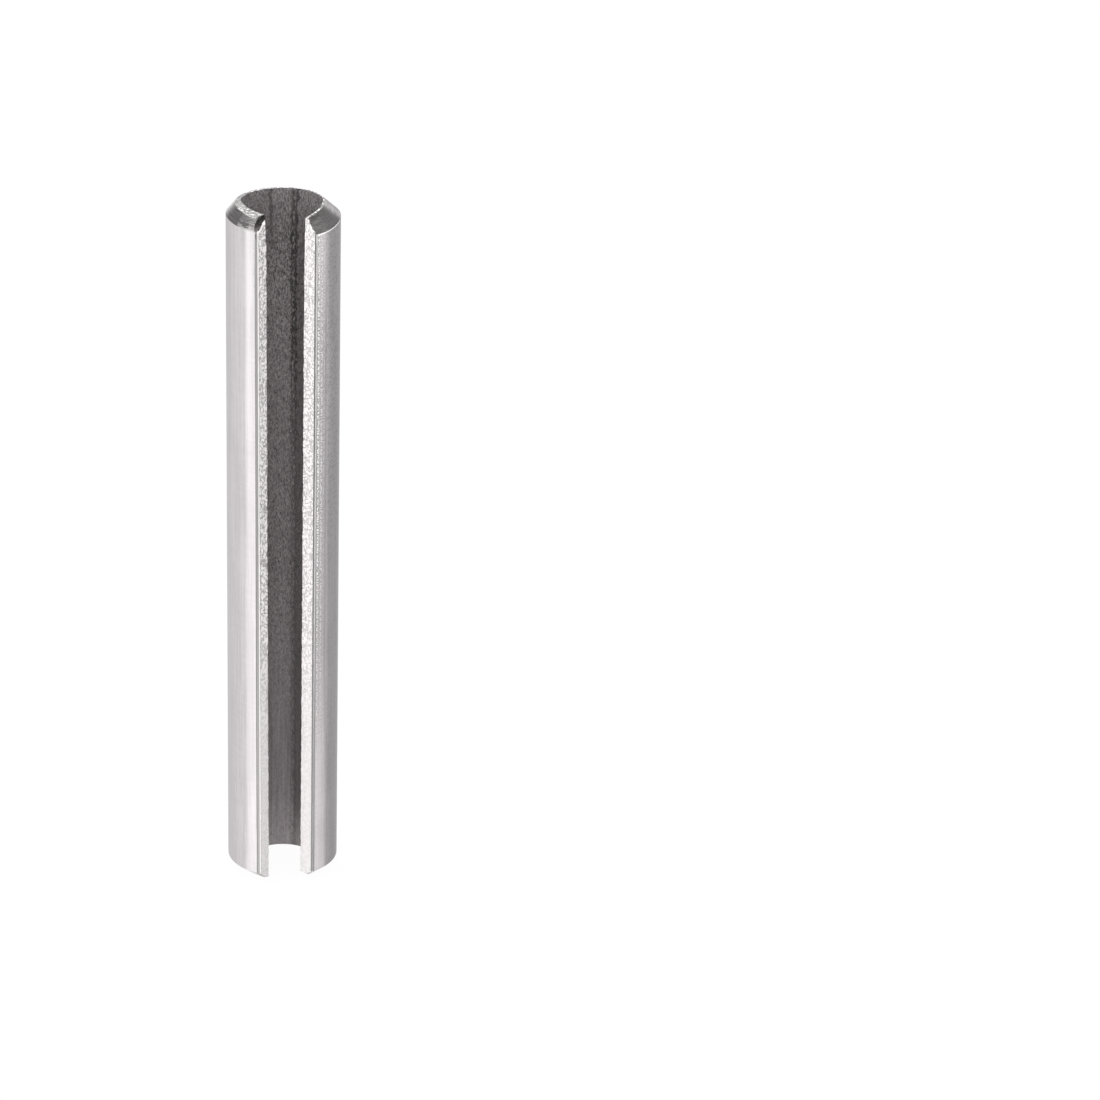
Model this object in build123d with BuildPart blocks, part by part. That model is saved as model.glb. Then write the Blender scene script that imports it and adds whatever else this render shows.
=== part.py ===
from build123d import *
import os
from math import cos, radians, sin, sqrt, tan

# A slotted spring pin for an 8 mm hole, in its free state, in millimetres and degrees.
# It stands on its lower end: +Z runs along its axis, and the slot faces -Y.
pin_length = 55.0
outer_diameter = 8.5
wall_thickness = 1.5

# The slot is where the two sheared edges of the rolled strip face each other. The gap is
# measured between the inner lips at the upper end, and each of its walls comes in a little
# on the way down.
slot_gap = 2.72
slot_closing = 0.19

# The rolls leave the last stretch of the strip unbent, as a narrow flat beside each edge.
# The edge is square to that flat, so both turn by the same angle from the slot's middle.
lip_angle = 37.0
flat_width = 1.06

# The sheared edges are slightly broken, more on the outside than towards the bore.
outer_lip_radius = 0.15
inner_lip_radius = 0.05

# A cone is turned on each end as a lead-in, and leaves a ring as the end face. The tool at
# the upper end stood off the pin's axis and leaned, both towards the left of the slot.
upper_face_radius = 3.42
upper_chamfer_angle = 38.7
tool_offset = 0.28
tool_lean = 5.8
tool_turn = 50.0
lower_face_radius = 3.05
lower_chamfer_angle = 51.5

# The bore opens out a little towards the upper end, as a shallow bell mouth.
mouth_flare = 0.33
mouth_depth = 4.0

# How far a cutting shape reaches past the surface that it cuts.
cut_margin = 1.0

outer_radius = outer_diameter / 2
bore_radius = outer_radius - wall_thickness
slot_reach = outer_radius + cut_margin
inner_lip_depth = sqrt(bore_radius**2 - (slot_gap / 2) ** 2)
slot_apex = inner_lip_depth - slot_gap / 2 / tan(radians(lip_angle))
slot_half_width = (slot_reach - slot_apex) * tan(radians(lip_angle))
flat_distance = sqrt(outer_radius**2 - (flat_width / 2) ** 2)
tool_side = Vector(-sin(radians(tool_turn)), -cos(radians(tool_turn)), 0)
tool_axis = tool_side * sin(radians(tool_lean)) + Vector(0, 0, cos(radians(tool_lean)))


def lead_in_cut(face_radius, chamfer_angle):
    """What a cone takes off an end whose face is at Z = 0, with the pin below it."""
    slope = tan(radians(chamfer_angle))
    reach = outer_radius + tool_offset + cut_margin
    with BuildPart() as cut:
        with BuildSketch(Plane.XZ):
            with BuildLine():
                Polyline(
                    (face_radius - cut_margin * slope, cut_margin),
                    (reach, (face_radius - reach) / slope),
                    (reach, cut_margin),
                    close=True,
                )
            make_face()
        revolve(axis=Axis.Z)
    return cut.part


with BuildPart() as spring_pin:
    # The rolled wall, with the two flats on its outside.
    with BuildSketch():
        Circle(outer_radius)
        with PolarLocations(
            flat_distance,
            2,
            start_angle=270 - lip_angle,
            angular_range=2 * lip_angle,
            endpoint=True,
        ):
            Rectangle(
                cut_margin,
                flat_width + cut_margin,
                align=(Align.MIN, Align.CENTER),
                mode=Mode.SUBTRACT,
            )
        Circle(bore_radius, mode=Mode.SUBTRACT)
    extrude(amount=pin_length)

    # The slot runs the whole length, and each half of it is cut along its own leaning wall.
    for side in (-1, 1):
        wall_run = Vector(-side * slot_closing, 0, -pin_length)
        with BuildSketch(Plane.XY.offset(pin_length)):
            with BuildLine():
                Polyline(
                    (0, -slot_apex),
                    (side * slot_half_width, -slot_reach),
                    (0, -slot_reach),
                    close=True,
                )
            make_face()
        extrude(amount=wall_run.length, dir=wall_run, mode=Mode.SUBTRACT)

    # The corners of the two lips.
    lip_faces = spring_pin.faces().filter_by(GeomType.PLANE).sort_by(SortBy.AREA)[-2:]
    lip_edges = lip_faces.edges().sort_by(SortBy.LENGTH)[-4:].sort_by(Axis.Y)
    fillet(lip_edges[:2], radius=outer_lip_radius)
    lip_faces = spring_pin.faces().filter_by(GeomType.PLANE).sort_by(SortBy.AREA)[-2:]
    lip_edges = lip_faces.edges().sort_by(SortBy.LENGTH)[-4:].sort_by(Axis.Y)
    fillet(lip_edges[2:], radius=inner_lip_radius)

    # The bell mouth of the bore.
    with BuildSketch(Plane.XZ):
        with BuildLine():
            bell = TangentArc(
                (bore_radius, pin_length - mouth_depth),
                (bore_radius + mouth_flare, pin_length),
                tangent=(0, 1),
            )
            Polyline(bell @ 1, (0, pin_length), (0, pin_length - mouth_depth), bell @ 0)
        make_face()
    revolve(axis=Axis.Z, mode=Mode.SUBTRACT)

    # The lead-ins.
    tool_foot = tool_side * tool_offset + Vector(0, 0, pin_length)
    with Locations(Plane(origin=tool_foot, z_dir=tool_axis)):
        add(lead_in_cut(upper_face_radius, upper_chamfer_angle), mode=Mode.SUBTRACT)
    add(
        lead_in_cut(lower_face_radius, lower_chamfer_angle),
        rotation=(180, 0, 0),
        mode=Mode.SUBTRACT,
    )

os.makedirs("parts", exist_ok=True)
spring_pin.part.label = "spring_pin"
export_step(spring_pin.part, "parts/spring_pin.step")
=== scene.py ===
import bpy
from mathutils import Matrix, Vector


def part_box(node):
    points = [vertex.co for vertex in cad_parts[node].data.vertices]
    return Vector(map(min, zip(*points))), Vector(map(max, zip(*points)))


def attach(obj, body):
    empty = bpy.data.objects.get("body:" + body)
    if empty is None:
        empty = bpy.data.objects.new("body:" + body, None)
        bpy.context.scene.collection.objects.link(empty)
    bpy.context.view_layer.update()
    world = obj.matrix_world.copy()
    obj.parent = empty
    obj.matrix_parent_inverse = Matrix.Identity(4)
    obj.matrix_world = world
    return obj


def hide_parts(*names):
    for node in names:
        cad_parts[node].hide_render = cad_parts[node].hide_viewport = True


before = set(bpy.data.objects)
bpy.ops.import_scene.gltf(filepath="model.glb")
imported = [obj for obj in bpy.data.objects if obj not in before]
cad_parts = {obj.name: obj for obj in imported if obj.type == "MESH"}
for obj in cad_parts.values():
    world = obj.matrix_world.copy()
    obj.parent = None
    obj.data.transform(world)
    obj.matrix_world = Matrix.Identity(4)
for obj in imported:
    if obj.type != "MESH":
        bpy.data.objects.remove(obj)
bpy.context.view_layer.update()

from math import cos, degrees, pi, radians, sin, sqrt

import bmesh
import bpy
from mathutils import Matrix, Vector, noise


# The blank
# The pin starts as a flat piece of hard spring-steel strip, sheared to length and width.
# It is modelled in millimetres, with its outer face towards +Y, and rolled further down.
def pick(kind, wanted):
    """Selects the vertices, edges or faces of the piece in edit mode that pass a test."""
    bpy.ops.mesh.select_mode(type=kind)
    bpy.ops.mesh.select_all(action="DESELECT")
    mesh = bmesh.from_edit_mesh(bpy.context.object.data)
    for item in {"VERT": mesh.verts, "EDGE": mesh.edges, "FACE": mesh.faces}[kind]:
        if wanted(item):
            item.select_set(True)
    mesh.select_flush_mode()
    bmesh.update_edit_mesh(bpy.context.object.data)


def runs_along(edge, axis):
    """Whether an edge points along X, Y or Z more than any other way."""
    run = edge.verts[1].co - edge.verts[0].co
    return abs(run[axis]) > 0.8 * run.length


def half_strip(slot_turn):
    """Half the width of a strip that leaves a slot, by the turn from its middle to a lip."""
    return (pi - radians(slot_turn)) * middle_radius


# A millimetre is given in metres. Places in the blank that are this near count as one.
mm = 0.001
near = 0.003
low_corner, high_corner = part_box("spring_pin")
length = (high_corner.z - low_corner.z) / mm
outer_radius = high_corner.x / mm
wall = 1.5
middle_radius = outer_radius - wall / 2

# The lips are square to the flats beside them, so their outer corners lie further from the
# slot's middle than the inner ones do, and the slot is a little wider at the upper end. Each
# pair of turns, in degrees from the slot's middle, is for the lower and the upper end.
inner_turns = (26.5, 29.6)
outer_turns = (30.25, 32.2)
flat_turn = 44.16
lower_inner, upper_inner = (half_strip(turn) for turn in inner_turns)
lower_outer, upper_outer = (half_strip(turn) for turn in outer_turns)
flat_end = half_strip(flat_turn)

bpy.ops.object.select_all(action="DESELECT")
bpy.ops.mesh.primitive_cube_add(size=1, location=(0, 0, length / 2))
pin = bpy.context.object
pin.name = "rolled_pin"
bpy.ops.transform.resize(value=(2 * lower_inner, wall, length))
bpy.ops.object.transform_apply(location=True, rotation=True, scale=True)

# The broken corners of the lips, the lead-ins and the bell mouth are rows or columns of the
# blank. Each is given as a distance from an edge of the blank.
outer_lip = 0.15
inner_lip = 0.05
lip_columns = (0.012, 0.05, 0.095, outer_lip)
upper_lead_in, lower_lead_in = 0.99, 0.955
mouth_depth, mouth_flare = 4.0, 0.33
cone_rows = (0.0, 0.03, 0.12, 0.3, 0.5, 0.75)
mouth_rows = (upper_lead_in, 1.5, 2.2, 3.0, mouth_depth)
upper_rows = cone_rows + mouth_rows
lower_rows = (*cone_rows, lower_lead_in)
upper_face, lower_face = 3.42, 3.05
wall_columns, flat_columns = 54, 3


def depth_of(vertex):
    """How far a vertex lies below the upper end."""
    return length - vertex.co.z


def rounded(distance, radius):
    """How far a rounded corner has fallen away at a distance from its edge."""
    inside = max(radius - distance, 0)
    return radius - sqrt(radius**2 - inside**2)


def mouth_radius(depth):
    """The radius of the bell mouth at a depth below the upper end."""
    arc = (mouth_depth**2 + mouth_flare**2) / (2 * mouth_flare)
    rise = max(mouth_depth - depth, 0)
    return outer_radius - wall + arc - sqrt(arc**2 - rise**2)


def between(table, value):
    """What a table gives for a value, between its two nearest entries."""
    for (low, before), (high, after) in zip(table, table[1:]):
        if low <= value <= high:
            return before + (after - before) * (value - low) / (high - low)
    return table[0][1]


bpy.ops.object.mode_set(mode="EDIT")
cuts = [((side * (lower_inner - d), 0, 0), (1, 0, 0)) for d in lip_columns for side in (-1, 1)]
cuts += [((side * flat_end, 0, 0), (1, 0, 0)) for side in (-1, 1)]
cuts += [((0, 0, length - d), (0, 0, 1)) for d in upper_rows[1:]]
cuts += [((0, 0, d), (0, 0, 1)) for d in lower_rows[1:]]
for place, direction in cuts:
    bpy.ops.mesh.select_all(action="SELECT")
    bpy.ops.mesh.bisect(plane_co=place, plane_no=direction, threshold=1e-4)

# Across the strip, each row now has one long edge for the wall, and one of about a
# millimetre for each flat.
pick("EDGE", lambda e: runs_along(e, 0) and e.calc_length() > flat_end)
bpy.ops.mesh.subdivide(number_cuts=wall_columns - 1)
pick("EDGE", lambda e: runs_along(e, 0) and 0.5 < e.calc_length() < 1)
bpy.ops.mesh.subdivide(number_cuts=flat_columns - 1)


def squeeze(wanted, low_face, high_face, height=0.0):
    """Moves the inner and the outer face of what is picked to the given places."""
    pick("VERT", wanted)
    bpy.ops.transform.resize(
        value=(1, (high_face - low_face) / wall, 1),
        center_override=(0, 0, height),
    )
    bpy.ops.transform.translate(value=(0, (high_face + low_face) / 2, 0))


def narrow(wanted, share, height):
    """Draws the lips of a row in towards the middle of the strip."""
    pick(
        "VERT",
        lambda v: abs(v.co.z - height) < near and abs(v.co.x) > upper_outer and wanted(v),
    )
    bpy.ops.transform.resize(value=(share, 1, 1), center_override=(0, 0, height))


for d in (0.0, *lip_columns[:-1]):
    squeeze(
        lambda v: abs(lower_inner - abs(v.co.x) - d) < near,
        rounded(d, inner_lip) - wall / 2,
        wall / 2 - rounded(d, outer_lip),
    )
inner_splays = ((0, 0), (length - mouth_depth, 0.045), (length - 0.5, 0.11), (length, 0))
for height in (*lower_rows, *(length - d for d in upper_rows)):
    rise = height / length
    inner = lower_inner + (upper_inner - lower_inner) * rise - between(inner_splays, height)
    outer = lower_outer + (upper_outer - lower_outer) * rise
    narrow(lambda v: v.co.y > 0, outer / lower_inner, height)
    narrow(lambda v: v.co.y < 0, inner / lower_inner, height)
for d in cone_rows:
    depth = (outer_radius - lower_face) * (1 - d / lower_lead_in)
    squeeze(lambda v: abs(v.co.z - d) < near, -wall / 2, wall / 2 - depth, d)
for d in upper_rows[:-1]:
    depth = (outer_radius - upper_face) * max(1 - d / upper_lead_in, 0)
    inner = mouth_radius(d) - middle_radius
    squeeze(lambda v: abs(depth_of(v) - d) < near, inner, wall / 2 - depth, length - d)

# The upper end is uneven. The ring, the lead-in and the bell mouth have their own width at
# each turn round the pin, in degrees from the slot, and at the right lip the ring dips and
# the lead-in is a little hollow.
face_radii = (
    (-180, 3.35), (-113, 3.56), (-86, 3.55), (-65, 3.61), (-54, 3.72), (-45, 3.87),
    (-33, 4.02), (32, 3.08), (45, 3.01), (60, 2.96), (90, 3.02), (110, 3.22),
    (140, 3.36), (180, 3.35),
)
lead_in_depths = (
    (-180, 0.95), (-80, 0.82), (-35, 0.98), (33, 1.24), (55, 1.14), (80, 0.93), (180, 0.95),
)
mouth_flares = (
    (-180, 0.43), (-150, 0.43), (-128, 0.53), (-103, 0.46), (-90, 0.22), (-71, 0.08),
    (-55, 0.05), (-41, 0.09), (-29, 0.2), (29, 0.1), (60, 0.06), (85, 0.1),
    (110, 0.36), (140, 0.5), (180, 0.43),
)
face_dips = ((-180, 0), (0, 0), (29, 0.33), (50, 0.12), (80, 0), (180, 0))
dip_depth = 1.5
hollows = ((-180, 0), (20, 0), (29, 0.5), (44, 0.45), (65, 0), (180, 0))

# Near the upper end, these places across the wall tell its inner face from its outer face.
inner_side, outer_side = -0.3, -0.2


def at_turn(table, column):
    """The value of a table at the turn that a column of the blank will have."""
    turn = 180 - degrees(abs(column) / middle_radius)
    return between(table, turn if column > 0 else -turn)


def stretch(wanted, *pulls):
    """Stretches vertices that pass a test, column by column, by shares about centres."""
    pick("VERT", wanted)
    mesh = bmesh.from_edit_mesh(pin.data)
    for column in sorted({round(v.co.x, 2) for v in mesh.verts if v.select}):
        pick("VERT", lambda v: round(v.co.x, 2) == column and wanted(v))
        for share, centre in pulls:
            bpy.ops.transform.resize(value=share(column), center_override=(column, *centre))


def dip_share(depth):
    """How much of a depth below the upper end is left, at a column, by the dip of the ring."""
    return lambda column: (1, 1, 1 - at_turn(face_dips, column) / depth(column))


def hollow_share(depth):
    """How much further from the outer face the lead-in lies, at a depth, by its hollow."""
    return lambda column: (1, 1 + depth / upper_lead_in * at_turn(hollows, column), 1)


def ring_share(column):
    """How far in the lead-in reaches at a column, as a share of its plain width."""
    return (1, (outer_radius - at_turn(face_radii, column)) / (outer_radius - upper_face), 1)


for d in cone_rows[1:]:
    stretch(
        lambda v: v.co.y > 0 and abs(depth_of(v) - d) < near and at_turn(hollows, v.co.x) > 0,
        (hollow_share(d), (wall / 2, length)),
    )
stretch(
    lambda v: v.co.y < inner_side and depth_of(v) < dip_depth - near,
    (dip_share(lambda column: dip_depth), (-wall / 2, length - dip_depth)),
)
stretch(
    lambda v: v.co.y < inner_side and depth_of(v) < mouth_depth - near,
    (lambda column: (1, at_turn(mouth_flares, column) / mouth_flare, 1), (-wall / 2, length)),
)
stretch(
    lambda v: v.co.y > outer_side and depth_of(v) < upper_lead_in + near,
    (ring_share, (wall / 2, length)),
    (
        dip_share(lambda column: at_turn(lead_in_depths, column)),
        (wall / 2, length - upper_lead_in),
    ),
    (
        lambda column: (1, 1, at_turn(lead_in_depths, column) / upper_lead_in),
        (wall / 2, length),
    ),
)
bpy.ops.object.mode_set(mode="OBJECT")

# The finishes
# One strip carries five: the rolled skin, the sheared edges, the cut ends, the turned
# lead-ins and the dark skin of the bore. Each face of the blank is given its own here.
finishes = ("rolled_skin", "sheared_edge", "cut_end", "lead_in", "bore_skin")
for finish in finishes:
    bpy.ops.object.material_slot_add()
    pin.material_slots[-1].material = bpy.data.materials.new(finish)


def finish_of(face):
    """The finish that a face of the flat blank has."""
    way = face.normal
    if abs(way.z) > 0.9:
        return "cut_end"
    if abs(way.x) > 0.75:
        return "sheared_edge"
    if way.y < 0:
        return "bore_skin"
    return "lead_in" if abs(way.z) > 0.2 else "rolled_skin"


bpy.ops.object.mode_set(mode="EDIT")
for number, finish in enumerate(finishes):
    pick("FACE", lambda f: finish_of(f) == finish)
    pin.active_material_index = number
    bpy.ops.object.material_slot_assign()
bpy.ops.object.mode_set(mode="OBJECT")

# The rolling
# Rolls bend the strip into a tube whose axis is Z, and leave the two edges facing each
# other across the slot. The last stretch beside each edge stays flat on the outside.
lip_angle = radians(37)
flat_distance = outer_radius * cos(radians(flat_turn) - lip_angle)

bend = pin.modifiers.new("rolls", "SIMPLE_DEFORM")
bend.deform_method = "BEND"
bend.deform_axis = "Z"
bend.angle = -2 * lower_inner / middle_radius
bpy.ops.object.modifier_apply(modifier=bend.name)
bpy.ops.object.mode_set(mode="EDIT")
bpy.ops.mesh.select_all(action="SELECT")
bpy.ops.transform.translate(value=(0, middle_radius, 0))


def flatten(wanted, place, across):
    """Presses what lies beyond a plane, and passes a test, flat onto that plane."""
    across = Vector(across).normalized()
    beside = across.orthogonal().normalized()
    pick("VERT", lambda v: (v.co - Vector(place)).dot(across) > 0 and wanted(v.co))
    bpy.ops.transform.resize(
        value=(0, 1, 1),
        orient_matrix=(across, beside.cross(across), beside),
        center_override=place,
    )


for side in (-1, 1):
    across = Vector((side * sin(lip_angle), -cos(lip_angle), 0))
    flatten(lambda p: True, across * flat_distance, across)

# The grain of the wall
# The blank has had few faces so far. Rows and columns are added now, fine enough to hold
# the torn metal of the sheared edges.
thickness_cells = 14
long_rows, cells_in_row = 80, 4
shortest_row, longest_row = 0.6, 0.63  # what the long rows measure once they are cut
cell = 0.155


def runs_outward(edge):
    """Whether an edge runs through the wall, from the bore to the outside."""
    run = (edge.verts[1].co - edge.verts[0].co).xy
    place = edge.verts[0].co.xy.normalized()
    return abs(run.dot(place)) > 0.7 * edge.calc_length()


pick("EDGE", runs_outward)
bpy.ops.mesh.subdivide(number_cuts=thickness_cells - 1)
pick("EDGE", lambda e: runs_along(e, 2) and e.calc_length() > length / 2)
bpy.ops.mesh.subdivide(number_cuts=long_rows - 1)
pick("EDGE", lambda e: runs_along(e, 2) and shortest_row < e.calc_length() < longest_row)
bpy.ops.mesh.subdivide(number_cuts=cells_in_row - 1)
for above, below in zip(mouth_rows, mouth_rows[1:]):
    foot = length - below
    pick("EDGE", lambda e: runs_along(e, 2) and abs(min(v.co.z for v in e.verts) - foot) < near)
    bpy.ops.mesh.subdivide(number_cuts=round((below - above) / cell) - 1)

# The ends of the lips
# Two corners are knocked off: a steep facet at the top of the left lip, and a low one under
# the right lip. Each is a plane, and the steep one has the finish of the lead-in, with painted
# shade on it.
facet = Vector((0.726, -0.667, 0.168)).normalized()
facet_place = (-1.965, -2.907, length)
facet_foot = length - 1.03
low_facet = (-0.32, -0.24, -0.92)
low_facet_place = (1.3, -2.5, 0.35)


def at_left_lip(face):
    """Whether a face lies beside the slot, on the left, above the foot of the steep facet."""
    middle = face.calc_center_median()
    return middle.x < 0 and middle.y < -2 and middle.z > facet_foot


pick("FACE", at_left_lip)
bpy.ops.mesh.bisect(plane_co=facet_place, plane_no=facet, threshold=0.01)
flatten(lambda p: p.x < 0 and p.z > facet_foot, facet_place, facet)
pick("FACE", lambda f: f.normal.dot(facet) > 0.995 and at_left_lip(f))
pin.active_material_index = finishes.index("lead_in")
bpy.ops.object.material_slot_assign()
flatten(lambda p: p.x > 0, low_facet_place, low_facet)
bpy.ops.mesh.select_all(action="SELECT")
bpy.ops.mesh.remove_doubles(threshold=0.0005)

# The sheared edges
# The shear leaves a smooth band next to the outer face, then a step down to torn, grainy
# metal that runs on to the bore, where the lip is wavy. Nothing dresses these edges later.
torn_start = 0.5
torn_sway = 0.12
wavy_radius = 2.95
edge_number = finishes.index("sheared_edge")


def on_edge(vertex, how_many=all):
    """Whether all or any of the faces round a vertex belong to a sheared edge."""
    return how_many(f.material_index == edge_number for f in vertex.link_faces)


def is_torn(vertex):
    """Whether a vertex lies in the torn part of a sheared edge, behind its wavy border."""
    sway = noise.noise(Vector((vertex.co.x, 0, vertex.co.z * 1.7))) * torn_sway
    return on_edge(vertex) and outer_radius - vertex.co.xy.length > torn_start + sway


def inner_lip_at(side):
    """A test for vertices along the inner lip on the left, at -1, or on the right, at 1."""
    return lambda v: v.co.x * side > 0 and v.co.xy.length < wavy_radius and on_edge(v, any)


edge_groups = {
    "torn": is_torn,
    "sheared": on_edge,
    "left_lip": inner_lip_at(-1),
    "right_lip": inner_lip_at(1),
}
for name, wanted in edge_groups.items():
    pick("VERT", wanted)
    pin.vertex_groups.new(name=name)
    bpy.ops.object.vertex_group_assign()
bpy.ops.object.mode_set(mode="OBJECT")


def roughen(group, depth, size, sink=0.0, direction="NORMAL"):
    """Gives a group of vertices a cloudy relief, pressed in by a share of its depth.

    At a sink of 0 its highest spots stay where they are, and at -0.5 it goes both ways.
    """
    relief = bpy.data.textures.new(group + "_relief", "CLOUDS")
    relief.noise_scale = size
    relief.noise_depth = 2
    relief.noise_basis = "ORIGINAL_PERLIN"
    press = pin.modifiers.new(group + "_relief", "DISPLACE")
    press.texture = relief
    press.texture_coords = "LOCAL"
    press.vertex_group = group
    press.direction = direction
    press.mid_level = 1.0 + sink
    press.strength = depth
    bpy.ops.object.modifier_apply(modifier=press.name)


roughen("torn", 0.05, 0.3, 0.3)
roughen("sheared", 0.02, 0.5)
roughen("left_lip", 0.13, 0.4, -0.5, "X")
roughen("right_lip", -0.13, 0.4, -0.5, "X")
bpy.ops.object.mode_set(mode="EDIT")
bpy.ops.mesh.select_all(action="SELECT")
bpy.ops.transform.resize(value=(mm,) * 3, center_override=(0, 0, 0))
bpy.ops.mesh.normals_make_consistent(inside=False)
bpy.ops.object.mode_set(mode="OBJECT")
bpy.ops.object.shade_smooth_by_angle(angle=radians(28))
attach(pin, "root")
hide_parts("spring_pin")


# The steel
# Every finish is bare steel. What differs is how smooth it is and how much dark skin from
# the hardening is left on it, and which way the tool marks run.
class Signal:
    """A socket of a shader, on which sums can be written as on a number."""

    def __init__(self, tree, socket=None):
        self.tree, self.socket = tree, socket

    def plug(self, value, socket):
        """Links a signal to a socket of a node, or writes a plain value on it."""
        if isinstance(value, Signal):
            self.tree.links.new(value.socket, socket)
        else:
            socket.default_value = value

    def node(self, kind, settings=(), inputs=(), output=0):
        """A new node of a type, with its settings and the values or links of its sockets."""
        made = self.tree.nodes.new(kind)
        for name, value in dict(settings).items():
            if name == "stops":
                ramp = made.color_ramp.elements
                for number, (place, grey) in enumerate(value):
                    stop = ramp[number] if number < 2 else ramp.new(place)
                    stop.position = place
                    stop.color = (grey, grey, grey, 1)
            else:
                setattr(made, name, value)
        for name, value in dict(inputs).items():
            self.plug(value, made.inputs[name])
        return Signal(self.tree, made.outputs[output])

    def math(self, operation, *values):
        """What an operation of the Math node makes of the values given with it."""
        return self.node("ShaderNodeMath", {"operation": operation}, enumerate(values))

    def absolute(self):
        """This value without its sign."""
        return self.math("ABSOLUTE", self)

    def __add__(self, other):
        return self.math("ADD", self, other)

    def __sub__(self, other):
        return self.math("SUBTRACT", self, other)

    def __rsub__(self, other):
        return self.math("SUBTRACT", other, self)

    def __mul__(self, other):
        return self.math("MULTIPLY", self, other)

    def __truediv__(self, other):
        return self.math("DIVIDE", self, other)

    def __rtruediv__(self, other):
        return self.math("DIVIDE", other, self)

    __radd__, __rmul__ = __add__, __mul__

    def axes(self):
        """The X, Y and Z of a vector."""
        return [self.node("ShaderNodeSeparateXYZ", (), {0: self}, n) for n in range(3)]

    def ramp(self, low, high, from_low=0.0, from_high=1.0):
        """This value carried smoothly from one range to another, and held inside it."""
        limits = {"From Min": from_low, "From Max": from_high, "To Min": low, "To Max": high}
        return self.node(
            "ShaderNodeMapRange",
            {"interpolation_type": "SMOOTHSTEP"},
            {"Value": self, **limits},
        )

    def band(self, low, high, blur):
        """One where this value lies between two others, falling to nothing over the blur."""
        return self.ramp(0, 1, low - blur, low) * self.ramp(1, 0, high, high + blur)

    def grain(self, size, stretch=(1, 1, 1), detail=3.0, roughness=0.5):
        """Noise from 0 to 1 on a vector in metres, with features of a size along each axis."""
        scaled = self.node(
            "ShaderNodeVectorMath",
            {"operation": "DIVIDE"},
            {0: self, 1: tuple(size * share for share in stretch)},
        )
        return self.node(
            "ShaderNodeTexNoise",
            (),
            {"Vector": scaled, "Scale": 1.0, "Detail": detail, "Roughness": roughness},
        )

    def curls(self, size, width):
        """Thin curly lines on a vector in metres: one on each line, and nothing between."""
        wave = self.grain(size, detail=1.0) - 0.5
        return wave.absolute().ramp(1, 0, width * 0.3, width)

    def tint(self, colour, other):
        """A colour, or a link to one, turned into another by this value."""
        if not isinstance(colour, Signal):
            colour = (*colour, 1)
        return self.node(
            "ShaderNodeMix",
            {"data_type": "RGBA"},
            {0: self, 6: colour, 7: (*other, 1)},
            2,
        )


def steel(finish):
    """The Principled shader of a finish, and the place on the pin in metres."""
    material = bpy.data.materials[finish]
    material.use_nodes = True
    place = Signal(material.node_tree).node("ShaderNodeTexCoord", output=3)
    return material.node_tree.nodes["Principled BSDF"], place


def unrolled(place):
    """A place by its way round the outside, its distance from the axis and its height."""
    x, y, z = place.axes()
    turn = x.math("ARCTAN2", x, y) * (outer_radius * mm)
    out = x.math("SQRT", x * x + y * y)
    return place.node("ShaderNodeCombineXYZ", (), {0: turn, 1: out, 2: z})


def degrees_from_slot(place):
    """The turn from the slot's middle, in degrees, less than zero on the left."""
    x, y = place.axes()[:2]
    return x.math("ARCTAN2", x, 0 - y) * (180 / pi)


def finish_with(shader, colour, roughness, relief, depth, metal=1.0):
    """Gives a shader its colour, roughness, relief of a depth in metres, and metal."""
    bump = relief.node("ShaderNodeBump", (), {"Height": relief, "Distance": depth})
    looks = {"Base Color": colour, "Roughness": roughness, "Normal": bump, "Metallic": metal}
    for name, value in looks.items():
        relief.plug(value, shader.inputs[name])


bright_steel = (0.97, 0.935, 0.94)
sparkle = (0.98, 0.945, 0.95)
worn_steel = (0.95, 0.94, 0.93)
# The grey below colours the mottling and the painted shade along the lips.
grey_skin_and_shade = (0.36, 0.35, 0.35)
pitted = (0.42, 0.4, 0.4)

# The rolled skin is drawn out along the pin. Painted shade darkens the flat beside the right
# lip, and a painted highlight brightens the shoulder under the lead-in there.
shader, place = steel("rolled_skin")
around, from_slot = unrolled(place), degrees_from_slot(place)
turn, out, height = around.axes()
streaks = around.grain(0.12 * mm, (1, 1, 40))
stripes = around.grain(0.4 * mm, (1, 1, 60))
cloud = around.grain(1.2 * mm, (1, 1, 3))
chatter = around.grain(0.5 * mm, (4, 1, 0.25), 2.0)
spots = around.grain(0.35 * mm, (1, 1, 1.5), 4.0)
skin = streaks * 0.3 + stripes * 0.3 + cloud * 0.2 + chatter * 0.1 + spots * 0.1
skin = skin.ramp(0, 1, 0.4, 0.6).tint((0.59, 0.56, 0.568), (0.685, 0.65, 0.66))
# Painted shade: the flat beside the right lip is darkened, most at mid-height.
right_flat_shade = from_slot.band(31, 45, 1.5) * height.band(21 * mm, 43 * mm, 12 * mm) * 0.42
skin = right_flat_shade.tint(skin, (0.2, 0.19, 0.195))
# Painted highlight: the shoulder under the lead-in is made bright and less metallic.
shoulder_highlight = (height - from_slot * (0.0066 * mm)).ramp(0, 1, 53.41 * mm, 53.45 * mm)
shoulder_highlight = shoulder_highlight * from_slot.band(36, 62, 22) * 0.8
skin = shoulder_highlight.tint(skin, bright_steel)

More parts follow.
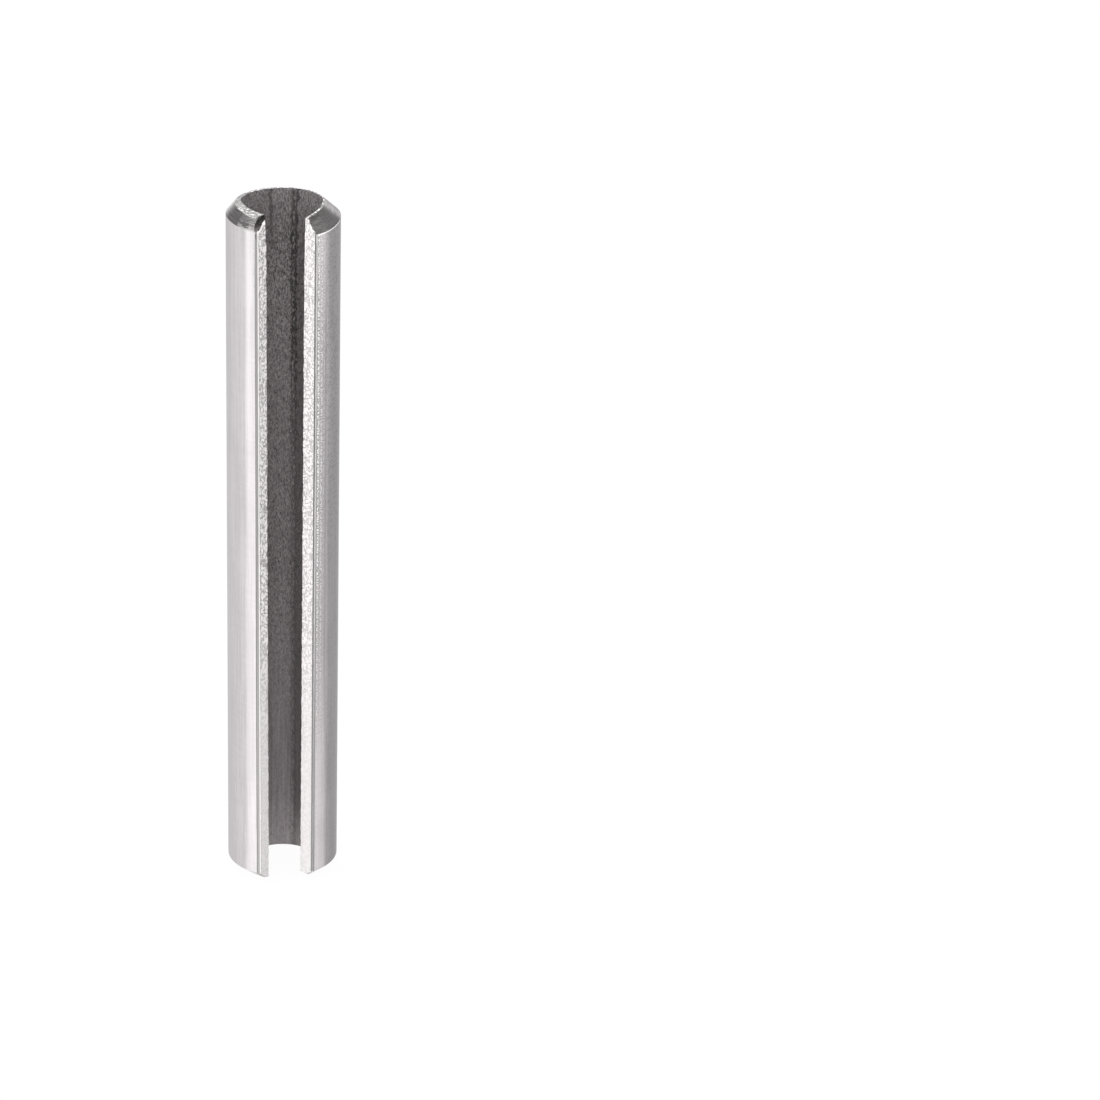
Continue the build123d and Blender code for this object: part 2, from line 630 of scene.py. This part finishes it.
# The right side is mottled, and rows of beads from the rolls run down beside the right lip.
mottle = around.grain(0.22 * mm, (1.2, 1, 0.8), 3.0)
mottled = from_slot.band(48, 80, 10) * (height.band(32 * mm, 52 * mm, 8 * mm) * 0.7 + 0.3)
skin = (mottle.ramp(0.4, 0, 0.38, 0.5) * mottled).tint(skin, grey_skin_and_shade)
bead_pitch = 4.4
beads = around.grain(0.14 * mm, (1, 1, 0.8), 2.0)
bead_wave = (from_slot - 34.5) * (2 * pi / bead_pitch)
bead_rows = bead_wave.math("COSINE", bead_wave).ramp(0.25, 1, -0.6, 0.6)
beaded = from_slot.band(33, 42, 1.5) * bead_rows * from_slot.ramp(1, 0.6, 35, 38)
beaded = beaded * height.ramp(0.2, 1, 8 * mm, 32 * mm)
bright_beads = beads.ramp(0, 1, 0.45, 0.56) * beaded
dark_beads = beads.ramp(1, 0, 0.34, 0.44) * beaded
skin = bright_beads.tint(skin, sparkle)
skin = (dark_beads * 0.8).tint(skin, (0.35, 0.33, 0.335))

# A patch of slanting scratches lies high on the right, and a thin line of painted shade
# follows the outer corner of each lip.
slant = around.node(
    "ShaderNodeCombineXYZ",
    (),
    {0: turn + height * 0.9, 1: out, 2: (height - turn) * 0.12},
)
patch = from_slot.band(46, 64, 5) * height.band(41 * mm, 46 * mm, 1.5 * mm)
scratches = slant.grain(0.11 * mm, detail=2.0).ramp(0, 1, 0.5, 0.62) * patch
skin = (scratches * 0.35).tint(skin, (0.4, 0.385, 0.39))
# Painted shade: a dark line along the outer corner of each lip, fainter low down.
lip_turn = outer_turns[0] + height * ((outer_turns[1] - outer_turns[0]) / (length * mm))
lip_line_shade = (from_slot.absolute() - lip_turn).ramp(1, 0, 0.3, 1.3)
finish_with(
    shader,
    colour=(lip_line_shade * height.ramp(0.75, 1, 5 * mm, 30 * mm)).tint(skin, grey_skin_and_shade),
    roughness=(streaks * 0.5 + spots * 0.5).ramp(0.15, 0.22, 0.3, 0.7) + bright_beads * 0.15,
    relief=streaks * 0.4 + mottle * mottled + bright_beads - dark_beads - scratches,
    depth=0.006 * mm,
    metal=1 - bright_beads * 0.5 - shoulder_highlight,
)

# A sheared edge is burnished next to the outer face, and torn from the step on, which is
# marked by a painted shadow. Its marks are harsher in the upper half, painted shade darkens
# the left edge, both edges are darker towards the lower end, and side is 0 on the left edge
# and 1 on the right one.
calm, full = 8 * mm, 26 * mm
shader, place = steel("sheared_edge")
x, y, height = place.axes()
out = unrolled(place).axes()[1]
side = x.ramp(0, 1, -1 * mm, 1 * mm)
harsh = height.ramp(0.25, 1, calm, full)
sway = place.grain(1.1 * mm, detail=2.0) * (0.26 * mm) + side * (0.3 * mm)
from_outside = outer_radius * mm - out + sway
burnished = from_outside.ramp(1, 0, 0.55 * mm, 0.61 * mm)
# Painted shadow: a dark band along the step down to the torn metal.
step_shadow = from_outside.band(0.6 * mm, 0.67 * mm, 0.05 * mm)
pits = place.grain(0.24 * mm, detail=3.0, roughness=0.6)
curls = place.curls(0.34 * mm, 0.09)
torn = (curls * harsh * (1 - side * 0.35)).tint(bright_steel, pitted)
torn = (pits.ramp(1, 0, 0.28, 0.41) * harsh).tint(torn, pitted)
# Painted shade darkens the left edge, and both edges darken towards the lower end.
shade_and_dimming = (1 - side) * height.ramp(0.36, 0.16, calm, full) + side * height.ramp(0.18, 0, calm, full)
torn = shade_and_dimming.tint(torn, (0.4, 0.39, 0.39))
edge = burnished.tint(torn, bright_steel)
edge = (step_shadow * (harsh * 0.4 + 0.3)).tint(edge, (0.35, 0.34, 0.34))

# A line of painted shade darkens the outer corner, and a painted highlight lies on the burr
# at the foot of the steep facet, in line with that facet's lower border.
# Painted shade: a dark line along the outer corner of each sheared edge.
corner_shade = out.band(3.99 * mm - side * (0.04 * mm), 4.06 * mm, 0.04 * mm)
rim_shade = out.ramp(0, 1, 4.06 * mm, 4.1 * mm) * (1 - side * height.ramp(0, 0.35, calm, full))
corner_shade = (corner_shade + rim_shade) * (side * 0.17 + 0.83) * height.ramp(0.84, 1, 5 * mm, 30 * mm)
# Painted highlight: a bright line on the burr under the steep facet.
above = height * 0.858 - x * 0.309 - y * 0.41
burr_highlight = above.band(47.99 * mm, 48.4 * mm, 0.02 * mm) * x.ramp(1, 0, -0.5 * mm, 0.5 * mm)
finish_with(
    shader,
    colour=corner_shade.tint(burr_highlight.tint(edge, sparkle), (0.17, 0.165, 0.165)),
    roughness=burnished.ramp(0.55, 0.4),
    relief=(pits - curls * 0.5) * (1 - burnished) * harsh + burr_highlight * 2,
    depth=0.025 * mm,
    metal=(1 - burnished) * 0.15,
)

# The end faces are bright, with curls and specks, and painted shade darkens them round the
# left.
shader, place = steel("cut_end")
specks = place.grain(0.22 * mm, detail=3.0, roughness=0.6)
curls = place.curls(0.32 * mm, 0.12)
face = curls.tint(bright_steel, (0.24, 0.23, 0.23))
# Painted shade: the end faces are darkened round the left.
face = (degrees_from_slot(place).band(-118, -92, 12) * 0.6).tint(face, (0.3, 0.29, 0.29))
finish_with(
    shader,
    colour=specks.ramp(1, 0, 0.37, 0.49).tint(face, (0.22, 0.21, 0.21)),
    roughness=specks.ramp(0.4, 0.3, 0.3, 0.7),
    relief=specks - curls * 0.5,
    depth=0.012 * mm,
    metal=0.5,
)

# The tool leaves fine rings on the lead-ins. They are worn bright beside the lips, darkened by
# painted shade on the steep facet, and brightened by a painted reflection at the far left.
shader, place = steel("lead_in")
around, from_slot, height = unrolled(place), degrees_from_slot(place), place.axes()[2]
rings = around.grain(0.07 * mm, (40, 1, 1))
marks = around.grain(0.3 * mm, (2.5, 1, 0.6), 4.0, 0.6)
worn = marks.ramp(0, 1, 0.43, 0.53) * from_slot.band(-55, -38, 4)
worn = worn * height.ramp(1, 0.3, 54.2 * mm, 54.8 * mm)
worn = worn + marks.ramp(0, 0.5, 0.5, 0.62) * from_slot.band(32, 46, 6)
cone = rings.ramp(0, 1, 0.34, 0.66).tint((0.45, 0.42, 0.427), (0.65, 0.61, 0.62))
# Painted shade: the steep facet is darkened, most towards its top.
facet_shade = from_slot.band(-34, -28, 0.6) * marks.ramp(0.85, 1, 0.4, 0.5)
facet_shade = facet_shade * height.ramp(0.45, 1, 54 * mm, 54.5 * mm)
cone = facet_shade.tint(cone, (0.05, 0.045, 0.045))
# Painted reflection: a bright band on the lead-in at the far left.
cone = (from_slot.band(-135, -98, 7) * 0.85).tint(cone, bright_steel)
finish_with(
    shader,
    colour=worn.tint(cone, worn_steel),
    roughness=rings.ramp(0.26, 0.2, 0.3, 0.7) + worn * 0.4,
    relief=rings + marks,
    depth=0.01 * mm,
)

# The bore keeps the skin of the hardening: flecked above, streaky below. Painted shade darkens
# it towards the mouth and in a band at the back right, and painted bounce light makes it paler
# near the lower end, most at the back.
shader, place = steel("bore_skin")
around, from_slot, height = unrolled(place), degrees_from_slot(place), place.axes()[2]
wobble = around.grain(0.3 * mm, (1, 1, 1.4), 3.0) * 18 - 9
grain = around.grain(0.15 * mm, (1, 1, 1.8))
fine = around.grain(0.08 * mm, (1, 1, 1.5), 1.0)
streaks = around.grain(0.25 * mm, (1, 1, 25))
harsh = height.ramp(0.3, 1, calm, full)
# Painted shade: darker towards the mouth and in a band at the back right.
mouth_shade = height.ramp(0, 0.48, 46 * mm, 54 * mm)
shade = (from_slot + wobble * 0.6).band(136, 155, 6) * 0.45 * (1 - mouth_shade * 2)
# Painted bounce light: paler near the lower end, and higher up at the back.
shade = shade + mouth_shade - height.ramp(0.3, 0, 0, 5 * mm)
back_bounce = from_slot.absolute().ramp(0, 0.2, 152, 172)
shade = shade - back_bounce * height.ramp(1, 0, 14 * mm, 26 * mm)
flecks = (grain * 0.5 + fine * 0.5 - 0.5) * harsh * height.ramp(2.9, 5, 40 * mm, 52 * mm)
skin = flecks + (streaks - 0.5) * (1 - harsh) * 0.9 + 0.5
skin = (skin * (1 - shade)).tint((0.13, 0.118, 0.12), (0.615, 0.57, 0.58))

# Ragged black seams run down the back right, and a short one hangs from the mouth.
seam = (from_slot + wobble).band(155.5, 157.5, 1.5) + (from_slot - wobble).band(161, 163, 1.5)
seam = seam + (from_slot + wobble * 1.6).band(159, 160, 1) * 0.6
short_seam = (from_slot + wobble * 0.4).band(-167, -164, 2) * grain.ramp(0.1, 0.8, 0.4, 0.55)
short_seam = short_seam * height.ramp(0, 1, 50 * mm, 53.5 * mm)
seam = seam.math("MINIMUM", seam * grain.ramp(0.3, 1, 0.4, 0.52) + short_seam, 1)
seam = seam * height.ramp(0.38, 1, 30 * mm, 46 * mm)
finish_with(
    shader,
    colour=(seam * 0.85).tint(skin, (0.04, 0.035, 0.035)),
    roughness=grain.ramp(0.6, 0.5, 0.3, 0.7),
    relief=(grain * 0.7 + fine * 0.3) * harsh - seam,
    depth=0.02 * mm,
    metal=0.5,
)

# The light
# A white table in a light tent, brightest low on the left, dimmer on the right, and dark in
# front and further up, except at the back. This gives the steel its bands. It mirrors the
# tent's own pale floor instead of the table.
bpy.ops.object.select_all(action="DESELECT")
bpy.ops.mesh.primitive_plane_add(size=3)
table = bpy.context.object
table.name = "table"
table.visible_glossy = False
paper = bpy.data.materials.new("white_paper")
paper.use_nodes = True
table.data.materials.append(paper)
maker = Signal(paper.node_tree)
shader = paper.node_tree.nodes["Principled BSDF"]
shader.inputs["Base Color"].default_value = (0.9, 0.9, 0.9, 1)
shader.inputs["Roughness"].default_value = 0.9
shown = maker.node("ShaderNodeLightPath", output=0)
glow = maker.node("ShaderNodeEmission", (), {"Color": (1, 1, 1, 1), "Strength": 1.0})
mixed = maker.node(
    "ShaderNodeMixShader",
    (),
    {0: shown * 0.97, 1: Signal(paper.node_tree, shader.outputs[0]), 2: glow},
)
maker.plug(mixed, paper.node_tree.nodes["Material Output"].inputs[0])

tent = bpy.data.worlds.new("light_tent")
bpy.context.scene.world = tent
tent.use_nodes = True
maker = Signal(tent.node_tree)
x, y, z = maker.node("ShaderNodeTexCoord", output=0).axes()
turn = x.math("ARCTAN2", x, 0 - y) / (2 * pi) + 0.5


def panorama(levels):
    """A brightness round the tent, from pairs of a turn in degrees and a level from 0 to 1."""
    stops = [(degree / 360 + 0.5, level) for degree, level in levels]
    return turn.node("ShaderNodeValToRGB", {"stops": stops}, {0: turn})


tent_power = 2.1
low_walls = (
    (-180, 0.31), (180, 0.31), (-160, 0.355), (-116, 0.46), (-84, 0.5), (-77, 0.71),
    (-58, 0.71), (-46, 0.3), (-30, 0.21), (40, 0.21), (60, 0.5), (80, 0.47), (92, 0.36),
    (104, 0.25), (118, 0.22), (150, 0.22), (165, 0.26),
)
high_walls = (
    (-180, 0.56), (180, 0.56), (-168, 0.6), (-158, 0.12), (50, 0.12), (90, 0.05),
    (120, 0.12), (141, 0.12), (145, 0.36), (152, 0.36), (162, 0.56),
)
low_level, high_level = panorama(low_walls) * tent_power, panorama(high_walls) * tent_power
roof_level, floor_level = 0.3, 1.0
level = low_level + (high_level - low_level) * z.ramp(0, 1, -0.03, 0.1)
level = level + (roof_level - level) * z.ramp(0, 1, 0.5, 0.7)
level = level + (floor_level - level) * z.ramp(1, 0, -0.72, -0.56)
seen = maker.node("ShaderNodeLightPath", output=0)
spread = maker.node("ShaderNodeLightPath", output=2)
strength = seen + spread * (1.58 - x * 0.48) + level * (1 - seen) * (1 - spread)
background = tent.node_tree.nodes["Background"]
background.inputs["Color"].default_value = (1, 1, 1, 1)
maker.plug(strength, background.inputs["Strength"])

# The camera
# It stands in front and a little to the left, well above the pin, and looks down at it. Its
# place is given in outer radii of the pin, and its lens in pixels of the image.
image_pixels, lens_pixels = 1100, 4389
stand_off, stand_height = 71.78, 39.07
stand_turn = radians(3.75)
aim_turn, aim_drop, aim_roll = radians(7.5765), radians(24.467), radians(1.6595)

camera_data = bpy.data.cameras.new("camera")
camera = bpy.data.objects.new("camera", camera_data)
bpy.context.scene.collection.objects.link(camera)
bpy.context.scene.camera = camera
camera_data.sensor_width = 36.0
camera_data.lens = lens_pixels / image_pixels * camera_data.sensor_width
camera_data.clip_start = 0.01
ahead = Vector((sin(aim_turn) * cos(aim_drop), cos(aim_turn) * cos(aim_drop), -sin(aim_drop)))
level_right = Vector((cos(aim_turn), -sin(aim_turn), 0))
level_up = level_right.cross(ahead)
right = level_right * cos(aim_roll) + level_up * sin(aim_roll)
up = level_up * cos(aim_roll) - level_right * sin(aim_roll)
stand = Vector((-stand_off * sin(stand_turn), -stand_off * cos(stand_turn), stand_height))
facing = Matrix((right, up, -ahead)).transposed().to_4x4()
camera.matrix_world = Matrix.Translation(stand * outer_radius * mm) @ facing
bpy.context.scene.view_settings.view_transform = "Standard"
